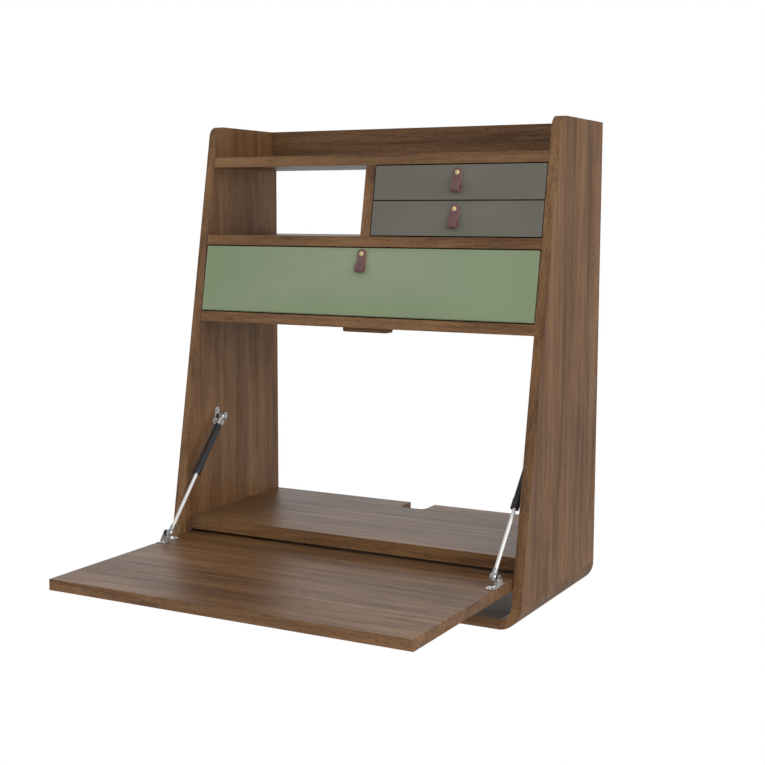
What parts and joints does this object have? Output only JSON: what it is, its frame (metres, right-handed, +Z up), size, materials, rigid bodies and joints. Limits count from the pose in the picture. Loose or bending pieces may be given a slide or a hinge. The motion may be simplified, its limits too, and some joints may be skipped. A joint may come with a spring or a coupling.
{
  "type": "fold down wall desk",
  "caption": "Wall hung writing desk with a sloping front: fold down leaf on soft stays, open niche, drop front with a leather loop pull and drawers.",
  "frame": {"origin": "wall plane, in the middle of the row of wall screws", "axes": "+X to the right seen from the room, +Y into the wall, +Z up; leaf open"},
  "size_m": [0.8, 0.7924, 0.95],
  "materials": {
    "walnut": "oiled walnut veneer with solid edges",
    "birch": "pale drawer wood and dowels",
    "green_lacquer": "matte sage green lacquered board",
    "grey_lacquer": "matte grey lacquered board",
    "leather": "plum brown leather with raw edges",
    "brass": "satin brass",
    "chrome": "bright chrome",
    "black_steel": "satin black painted steel",
    "brown_steel": "satin brown painted steel",
    "zinc_steel": "zinc plated steel",
    "bar_aluminium": "mill finish extrusion"
  },
  "bodies": {
    "carcass": {"wall_bar": "bar_aluminium", "cabinet_bar": "bar_aluminium", "cabinet_bar_screws": "zinc_steel", "side_panel_left": "walnut", "side_panel_right": "walnut", "bottom_panel": "walnut", "corner_block_left": "walnut", "corner_block_right": "walnut", "back_rail": "walnut", "top_shelf": "walnut", "middle_shelf": "walnut", "lower_shelf": "walnut", "divider": "walnut", "drawer_bay_back": "walnut", "flap_space_back": "walnut", "desk_shelf": "walnut", "dowels": "birch", "stop_block": "walnut", "strut_mount_upper_left": "chrome", "strut_mount_upper_right": "chrome", "upper_mount_screws": "chrome", "drawer_runners": "birch", "leaf_pivot_pins": "zinc_steel", "flap_pivot_pins": "zinc_steel", "flap_stop_pins": "zinc_steel"},
    "leaf": {"leaf_board": "walnut", "leaf_pivot_plates": "brown_steel", "strut_mount_lower_left": "chrome", "strut_mount_lower_right": "chrome", "leaf_screws": "chrome", "ball_studs_lower": "black_steel"},
    "flap": {"flap_panel": "green_lacquer", "flap_pull": "leather", "flap_rivet": "brass"},
    "drawer_upper": {"drawer_upper_front": "grey_lacquer", "drawer_upper_side_left": "birch", "drawer_upper_side_right": "birch", "drawer_upper_back": "birch", "drawer_upper_bottom": "birch", "drawer_upper_pull": "leather", "drawer_upper_rivet": "brass"},
    "drawer_lower": {"drawer_lower_front": "grey_lacquer", "drawer_lower_side_left": "birch", "drawer_lower_side_right": "birch", "drawer_lower_back": "birch", "drawer_lower_bottom": "birch", "drawer_lower_pull": "leather", "drawer_lower_rivet": "brass"},
    "strut_rod_left": {"strut_rod_left": "chrome", "strut_socket_lower_left": "chrome"},
    "strut_tube_left": {"strut_tube_left": "black_steel", "strut_guide_left": "black_steel", "strut_socket_upper_left": "chrome", "ball_stud_upper_left": "black_steel"},
    "strut_rod_right": {"strut_rod_right": "chrome", "strut_socket_lower_right": "chrome"},
    "strut_tube_right": {"strut_tube_right": "black_steel", "strut_guide_right": "black_steel", "strut_socket_upper_right": "chrome", "ball_stud_upper_right": "black_steel"}
  },
  "joints": [
    {"name": "leaf_hinge", "type": "hinge", "parent": "carcass", "child": "leaf", "pos_m": [0, -0.35602, -0.802], "axis": [-1, 0, 0], "range_deg": [0, 100.38]},
    {"name": "flap_hinge", "type": "hinge", "parent": "carcass", "child": "flap", "pos_m": [0, -0.29048, -0.3165], "axis": [1, 0, 0], "range_deg": [0, 100.38]},
    {"name": "drawer_upper_slide", "type": "slide", "parent": "carcass", "child": "drawer_upper", "axis": [0, -1, 0], "range_m": [0, 0.16]},
    {"name": "drawer_lower_slide", "type": "slide", "parent": "carcass", "child": "drawer_lower", "axis": [0, -1, 0], "range_m": [0, 0.16]},
    {"name": "strut_swing_left", "type": "hinge", "parent": "leaf", "child": "strut_rod_left", "pos_m": [-0.3635, -0.44302, -0.793], "axis": [-1, 0, 0], "range_deg": [-112.56, 0]},
    {"name": "strut_stroke_left", "type": "slide", "parent": "strut_rod_left", "child": "strut_tube_left", "axis": [0, 0.662, 0.7495], "range_m": [-0.12678, 0]},
    {"name": "strut_swing_right", "type": "hinge", "parent": "leaf", "child": "strut_rod_right", "pos_m": [0.3635, -0.44302, -0.793], "axis": [-1, 0, 0], "range_deg": [-112.56, 0]},
    {"name": "strut_stroke_right", "type": "slide", "parent": "strut_rod_right", "child": "strut_tube_right", "axis": [0, 0.662, 0.7495], "range_m": [-0.12678, 0]}
  ],
  "couplings": [
    {"joint": "strut_swing_left", "follows": "leaf_hinge", "ratio": -1.1183},
    {"joint": "strut_stroke_left", "follows": "leaf_hinge", "m_per_rad": -0.072191},
    {"joint": "strut_swing_right", "follows": "leaf_hinge", "ratio": -1.1183},
    {"joint": "strut_stroke_right", "follows": "leaf_hinge", "m_per_rad": -0.072191}
  ]
}
